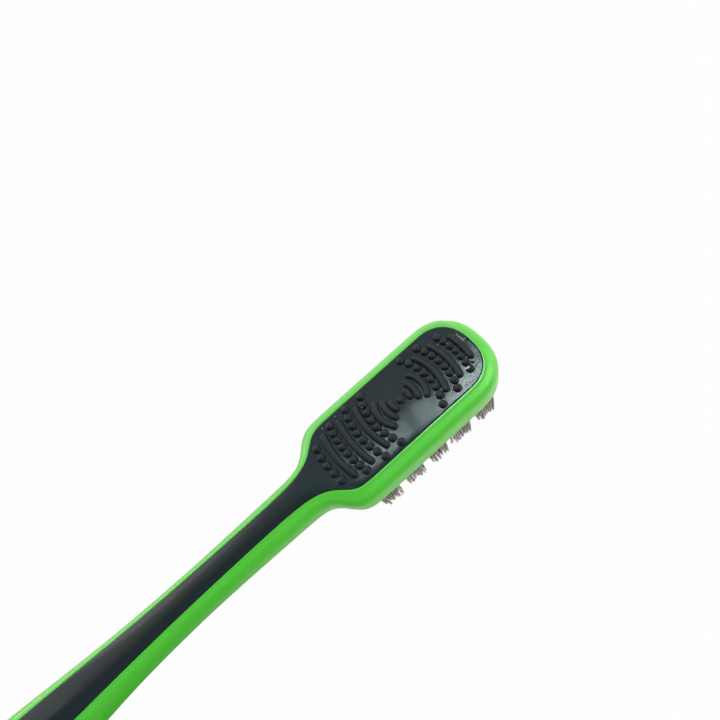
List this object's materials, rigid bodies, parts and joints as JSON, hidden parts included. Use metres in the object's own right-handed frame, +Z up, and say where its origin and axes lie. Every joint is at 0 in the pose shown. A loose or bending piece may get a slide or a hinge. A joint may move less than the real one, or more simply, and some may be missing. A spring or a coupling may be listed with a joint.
{
  "type": "manual toothbrush",
  "caption": "Manual toothbrush with a green hard body, a soft black back that ends in a ridged and bumped tongue cleaner pad, and grey bristle tufts",
  "frame": {"origin": "below the middle of the brush, at the centre of its box on the surface that it lies on", "axes": "+X points to the tip of the head, +Z points up out of the back of the brush, +Y completes the frame"},
  "size_m": [0.19, 0.014, 0.0168],
  "materials": {
    "hard_green": "bright green moulded polypropylene, semi-gloss",
    "soft_black": "black thermoplastic elastomer, satin",
    "bristle_grey": "grey nylon filaments",
    "anchor_metal": "nickel silver strip, cut plates"
  },
  "bodies": {
    "root": {"handle": "hard_green", "soft_back": "soft_black", "tuft_anchors": "anchor_metal", "tuft_1": "bristle_grey", "tuft_2": "bristle_grey", "tuft_3": "bristle_grey", "tuft_4": "bristle_grey", "tuft_5": "bristle_grey", "tuft_6": "bristle_grey", "tuft_7": "bristle_grey", "tuft_8": "bristle_grey", "tuft_9": "bristle_grey", "tuft_10": "bristle_grey", "tuft_11": "bristle_grey", "tuft_12": "bristle_grey", "tuft_13": "bristle_grey", "tuft_14": "bristle_grey", "tuft_15": "bristle_grey", "tuft_16": "bristle_grey", "tuft_17": "bristle_grey", "tuft_18": "bristle_grey", "tuft_19": "bristle_grey", "tuft_20": "bristle_grey", "tuft_21": "bristle_grey", "tuft_22": "bristle_grey", "tuft_23": "bristle_grey", "tuft_24": "bristle_grey", "tuft_25": "bristle_grey", "tuft_26": "bristle_grey", "tuft_27": "bristle_grey", "tuft_28": "bristle_grey", "tuft_29": "bristle_grey", "tuft_30": "bristle_grey", "tuft_31": "bristle_grey", "tuft_32": "bristle_grey", "tuft_33": "bristle_grey", "tuft_34": "bristle_grey", "tuft_35": "bristle_grey", "tuft_36": "bristle_grey", "tuft_37": "bristle_grey", "tuft_38": "bristle_grey", "tuft_39": "bristle_grey", "tuft_40": "bristle_grey", "tuft_41": "bristle_grey", "tuft_42": "bristle_grey", "tuft_43": "bristle_grey", "tuft_44": "bristle_grey", "tuft_45": "bristle_grey", "tuft_46": "bristle_grey", "tuft_47": "bristle_grey", "tuft_48": "bristle_grey"}
  },
  "joints": []
}
